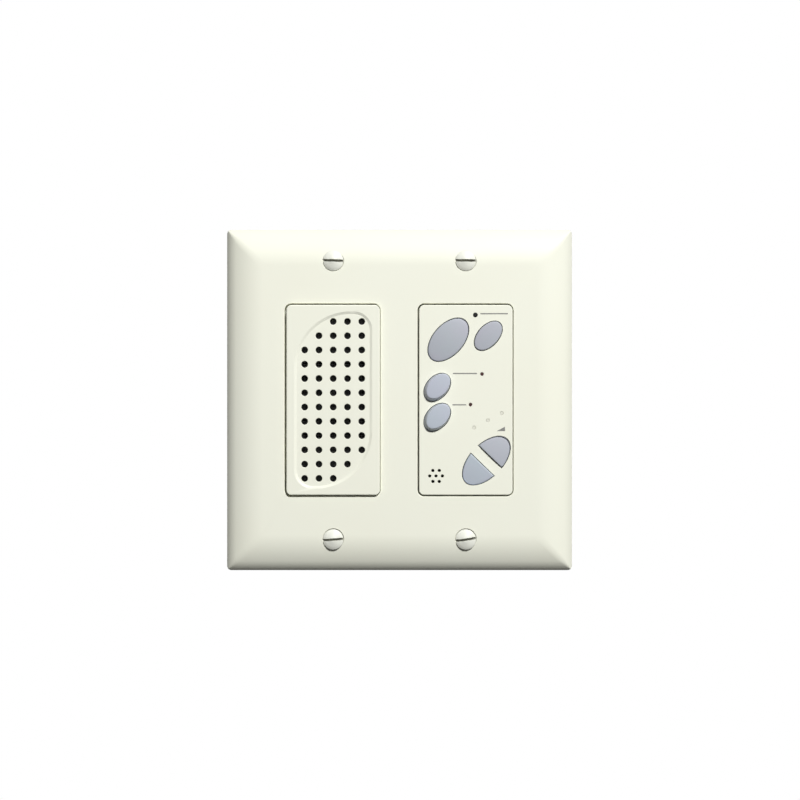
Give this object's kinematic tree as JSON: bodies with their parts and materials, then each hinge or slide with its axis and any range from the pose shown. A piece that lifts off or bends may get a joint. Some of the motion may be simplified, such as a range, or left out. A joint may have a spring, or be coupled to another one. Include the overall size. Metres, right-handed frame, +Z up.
{
  "type": "wall intercom unit",
  "caption": "Two-gang wall-mounted intercom station with a perforated speaker grille, a keypad of oval push keys with indicator lights, mounting straps and a stepped rear housing.",
  "frame": {"origin": "centre of the four box screws, on the wall plane (rear of the straps and of the plate's rim)", "axes": "+X to the viewer's right, +Y into the wall along the box screws, +Z up; the front faces -Y"},
  "size_m": [0.1206, 0.0339, 0.119],
  "materials": {
    "ivory_plastic": "satin, very fine grain",
    "key_plastic": "satin",
    "painted_screw": "ivory paint",
    "zinc_steel": "zinc plated",
    "black_mesh": "matt black woven mesh",
    "black_plastic": "moulded",
    "housing_plastic": "fine spark texture",
    "board_laminate": "solder mask",
    "light_black": "dark lens",
    "light_red": "unlit red lens",
    "light_clear": "milky lens",
    "chip_white": "moulded",
    "capsule_metal": "drawn can",
    "boot_rubber": "soft rubber",
    "chip_epoxy": "epoxy",
    "capacitor_sleeve": "shrink sleeve",
    "terminal_plastic": "moulded",
    "header_plastic": "moulded",
    "wire_sleeve": "sleeve",
    "speaker_steel": "pressed",
    "tag_brass": "tinned",
    "cone_film": "polymer film",
    "coil_copper": "wound wire",
    "ferrite": "sintered"
  },
  "bodies": {
    "unit": {"wall_plate": "ivory_plastic", "plate_screws": "painted_screw", "speaker_bezel": "ivory_plastic", "dust_screen": "black_mesh", "keypad_bezel": "ivory_plastic", "switch_bodies": "black_plastic", "circuit_board": "board_laminate", "board_screws": "zinc_steel", "answer_light": "light_black", "monitor_light": "light_red", "mute_light": "light_red", "level_lights": "light_clear", "light_chips": "chip_white", "microphone": "capsule_metal", "microphone_boot": "boot_rubber", "amplifier_chip": "chip_epoxy", "control_chip": "chip_epoxy", "capacitors": "capacitor_sleeve", "terminal_block": "terminal_plastic", "terminal_screws": "zinc_steel", "speaker_header": "header_plastic", "speaker_wires": "wire_sleeve", "top_strap": "zinc_steel", "bottom_strap": "zinc_steel", "strap_screws": "zinc_steel", "box_screws": "zinc_steel", "rear_housing": "housing_plastic", "bezel_screws": "zinc_steel", "speaker_baffle": "black_plastic", "speaker_gasket": "boot_rubber", "speaker_frame": "speaker_steel", "speaker_screws": "zinc_steel", "speaker_terminals": "tag_brass", "speaker_surround": "boot_rubber", "speaker_top_plate": "speaker_steel", "speaker_magnet": "ferrite", "speaker_yoke": "speaker_steel"},
    "talk_key": {"talk_button": "key_plastic", "talk_plunger": "black_plastic"},
    "answer_key": {"answer_button": "key_plastic", "answer_plunger": "black_plastic"},
    "monitor_key": {"monitor_button": "key_plastic", "monitor_plunger": "black_plastic"},
    "mute_key": {"mute_button": "key_plastic", "mute_plunger": "black_plastic"},
    "volume_up_key": {"volume_up_button": "key_plastic", "volume_up_plunger": "black_plastic"},
    "volume_down_key": {"volume_down_button": "key_plastic", "volume_down_plunger": "black_plastic"},
    "cone": {"speaker_cone": "cone_film", "dust_cap": "cone_film", "voice_coil": "coil_copper"}
  },
  "joints": [
    {"name": "talk_press", "type": "slide", "parent": "unit", "child": "talk_key", "axis": [0, 1, 0], "range_m": [0, 0.0008], "stiffness_N_per_m": 600, "springref_m": -0.001},
    {"name": "answer_press", "type": "slide", "parent": "unit", "child": "answer_key", "axis": [0, 1, 0], "range_m": [0, 0.0008], "stiffness_N_per_m": 600, "springref_m": -0.001},
    {"name": "monitor_press", "type": "slide", "parent": "unit", "child": "monitor_key", "axis": [0, 1, 0], "range_m": [0, 0.002], "stiffness_N_per_m": 300, "springref_m": -0.001},
    {"name": "mute_press", "type": "slide", "parent": "unit", "child": "mute_key", "axis": [0, 1, 0], "range_m": [0, 0.002], "stiffness_N_per_m": 300, "springref_m": -0.001},
    {"name": "volume_up_press", "type": "slide", "parent": "unit", "child": "volume_up_key", "axis": [0, 1, 0], "range_m": [0, 0.0008], "stiffness_N_per_m": 600, "springref_m": -0.001},
    {"name": "volume_down_press", "type": "slide", "parent": "unit", "child": "volume_down_key", "axis": [0, 1, 0], "range_m": [0, 0.0008], "stiffness_N_per_m": 600, "springref_m": -0.001},
    {"name": "cone_stroke", "type": "slide", "parent": "unit", "child": "cone", "axis": [0, 1, 0], "range_m": [-0.0004, 0.0004], "stiffness_N_per_m": 800, "deforming": ["speaker_surround"]}
  ]
}
